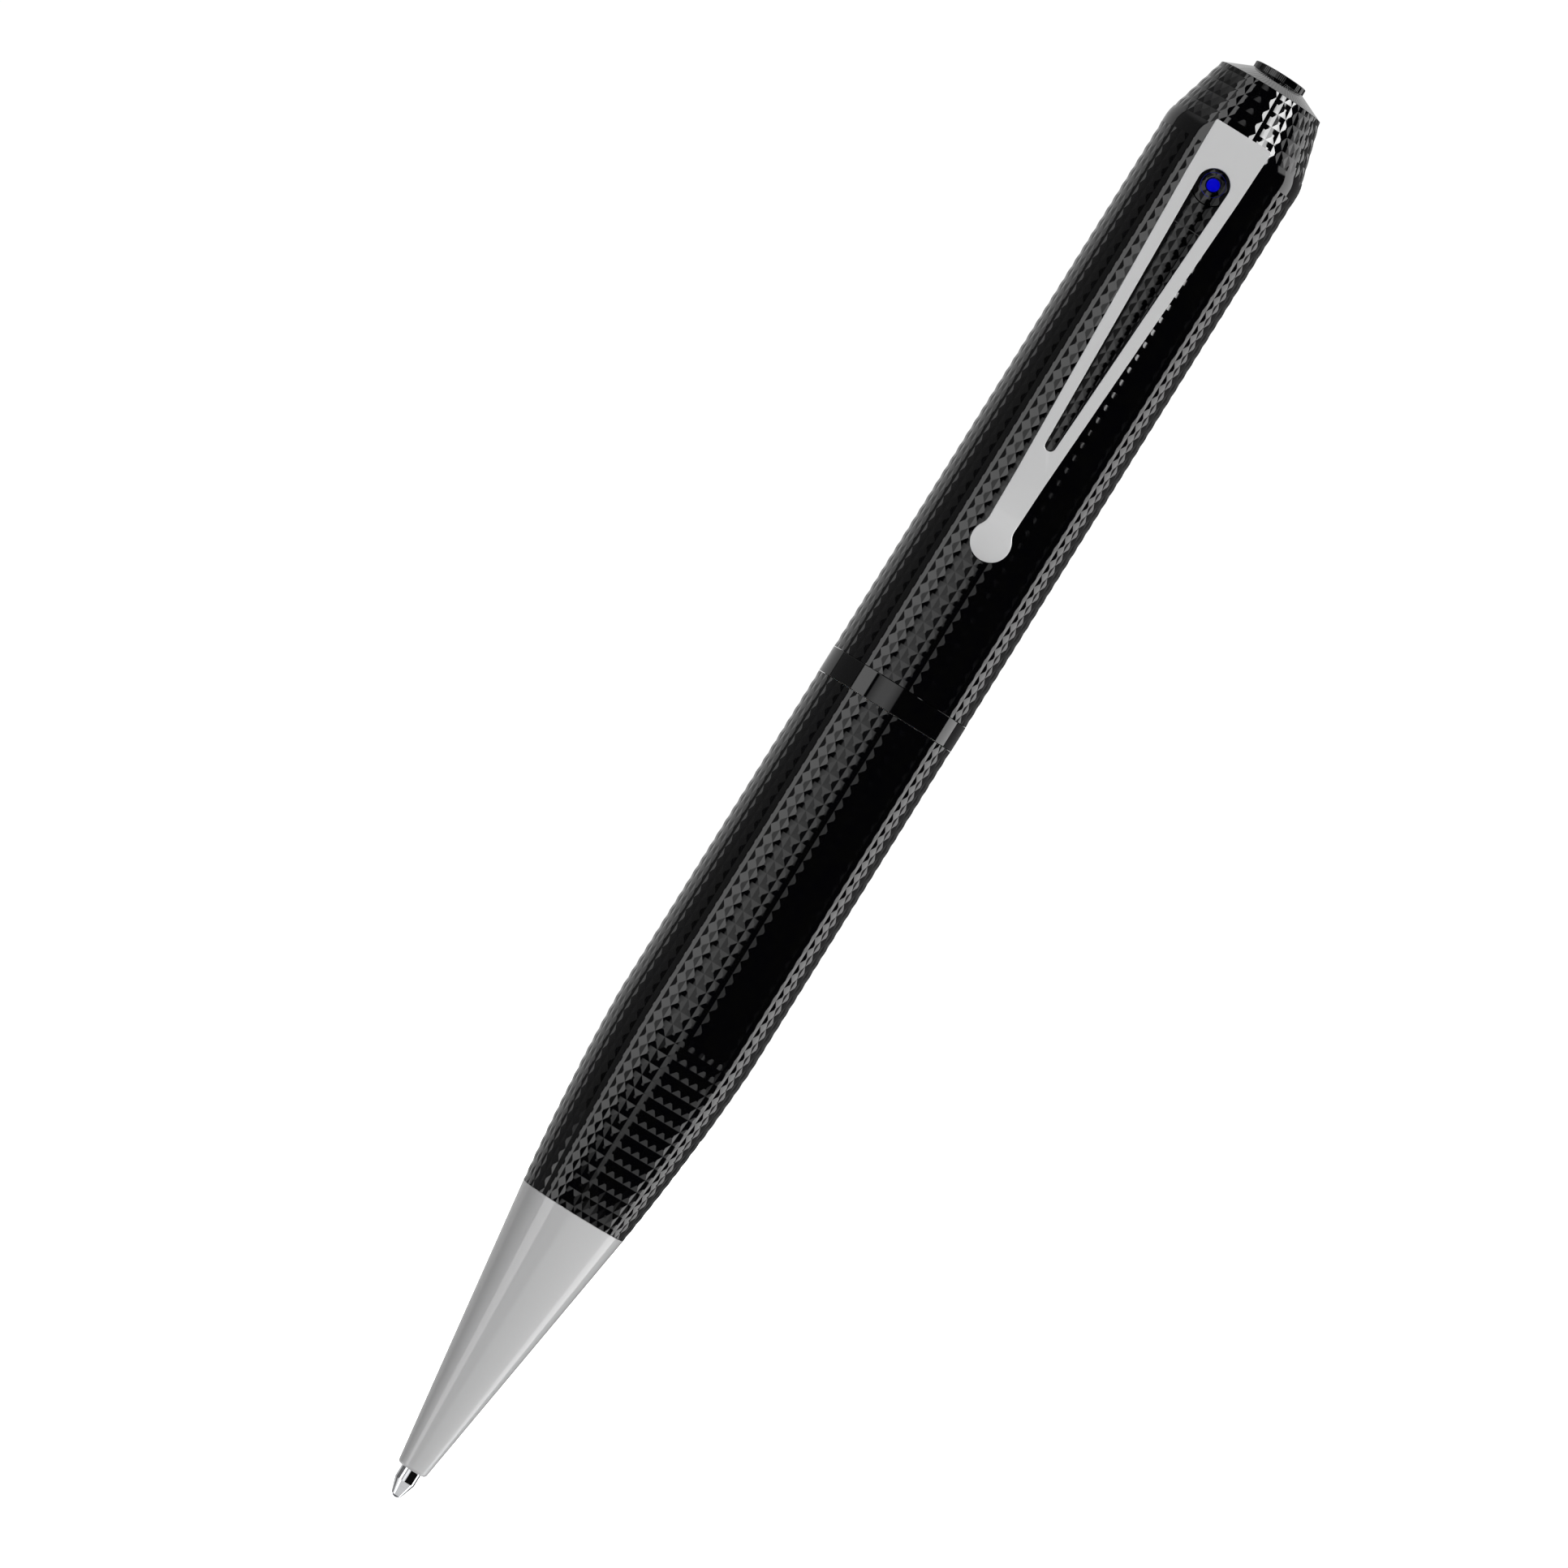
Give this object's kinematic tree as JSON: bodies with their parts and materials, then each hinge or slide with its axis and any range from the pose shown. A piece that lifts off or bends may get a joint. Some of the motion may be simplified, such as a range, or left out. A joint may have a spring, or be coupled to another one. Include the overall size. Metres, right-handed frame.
{
  "type": "ballpoint pen with hidden camera",
  "caption": "Twist-action ballpoint pen with a pinhole video camera behind the pocket clip and a record button on top; the halves pull apart at the smooth band.",
  "frame": {"origin": "the writing ball's lowest point, on the pen's axis, with the refill extended", "axes": "+Z along the pen's axis from the writing tip to the record button; -Y is the side of the clip and the lens; +X is to the right when the clip faces the viewer"},
  "size_m": [0.0138, 0.0158, 0.15],
  "materials": {
    "black_lacquered_brass": "gloss black lacquer over diamond-cut brass",
    "polished_black_metal": "polished black",
    "satin_nickel": "satin",
    "bright_chrome": "polished",
    "spring_steel": "drawn wire",
    "stainless_steel": "stamped sheet",
    "raw_brass": "turned",
    "acetal_white": "moulded",
    "black_nylon": "moulded",
    "nitrile_rubber": "moulded",
    "foam": "foam",
    "green_board": "solder mask",
    "black_epoxy": "moulded",
    "battery_wrap": "shrink film",
    "polyimide_film": "film",
    "window_glass": "flat, dark tint",
    "coated_lens": "blue coating",
    "blue_ink": "ink paste",
    "led_lens": "clear resin",
    "tungsten_carbide": "ground",
    "silicon": "polished die"
  },
  "bodies": {
    "upper_half": {"battery": "battery_wrap", "battery_pads": "foam", "camera_board": "green_board", "camera_carrier": "black_nylon", "camera_housing": "black_nylon", "camera_window": "window_glass", "card_socket": "stainless_steel", "carrier_screws": "stainless_steel", "charge_chip": "black_epoxy", "clip_foot": "satin_nickel", "clock_crystal": "stainless_steel", "crown": "polished_black_metal", "end_cap": "black_lacquered_brass", "flex_cable": "polyimide_film", "friction_ring": "nitrile_rubber", "image_sensor": "silicon", "lens_barrel": "black_nylon", "lens_element": "coated_lens", "main_board": "green_board", "microphone": "raw_brass", "processor_chip": "black_epoxy", "reset_switch": "black_epoxy", "status_led": "led_lens", "switch_housing": "stainless_steel", "tail_plug": "black_nylon", "top_board": "green_board", "upper_barrel": "black_lacquered_brass", "usb_shell": "stainless_steel", "usb_tongue": "black_nylon", "window_bezel": "black_lacquered_brass"},
    "record_button": {"record_button": "polished_black_metal", "button_retainer": "spring_steel", "switch_plunger": "black_nylon"},
    "pocket_clip": {"pocket_clip": "satin_nickel"},
    "memory_card": {"memory_card": "black_epoxy"},
    "reset_button": {"reset_button": "acetal_white"},
    "twist_ring": {"twist_core": "acetal_white", "joint_band": "polished_black_metal", "snap_ring": "spring_steel"},
    "lower_half": {"nose_cone": "satin_nickel", "lower_barrel": "black_lacquered_brass", "guide_tube": "raw_brass", "refill_spring": "spring_steel"},
    "refill": {"refill_point": "bright_chrome", "writing_ball": "tungsten_carbide", "refill_tube": "raw_brass", "ink_column": "blue_ink", "refill_holder": "acetal_white", "cam_pin": "stainless_steel"}
  },
  "joints": [
    {"name": "record_press", "type": "slide", "parent": "upper_half", "child": "record_button", "axis": [0, 0, -1], "range_m": [0, 0.00035], "stiffness_N_per_m": 2000},
    {"name": "clip_flex", "type": "hinge", "parent": "upper_half", "child": "pocket_clip", "pos_m": [0, -0.00805, 0.1419], "axis": [-1, 0, 0], "range_deg": [0, 3], "stiffness_Nm_per_rad": 2},
    {"name": "card_slide", "type": "slide", "parent": "upper_half", "child": "memory_card", "axis": [0, 0, -1], "range_m": [0, 0.0025]},
    {"name": "reset_press", "type": "slide", "parent": "upper_half", "child": "reset_button", "axis": [0, 0, 1], "range_m": [0, 0.00025], "stiffness_N_per_m": 1000},
    {"name": "halves_pull", "type": "slide", "parent": "upper_half", "child": "twist_ring", "axis": [0, 0, -1], "range_m": [0, 0.03]},
    {"name": "barrel_twist", "type": "hinge", "parent": "twist_ring", "child": "lower_half", "pos_m": [0, 0, 0.06], "axis": [0, 0, 1], "range_deg": [0, 180]},
    {"name": "refill_slide", "type": "slide", "parent": "lower_half", "child": "refill", "axis": [0, 0, 1], "range_m": [0, 0.0034], "deforming": ["refill_spring"]}
  ],
  "couplings": [
    {"joint": "refill_slide", "follows": "barrel_twist", "m_per_rad": 0.001082}
  ]
}
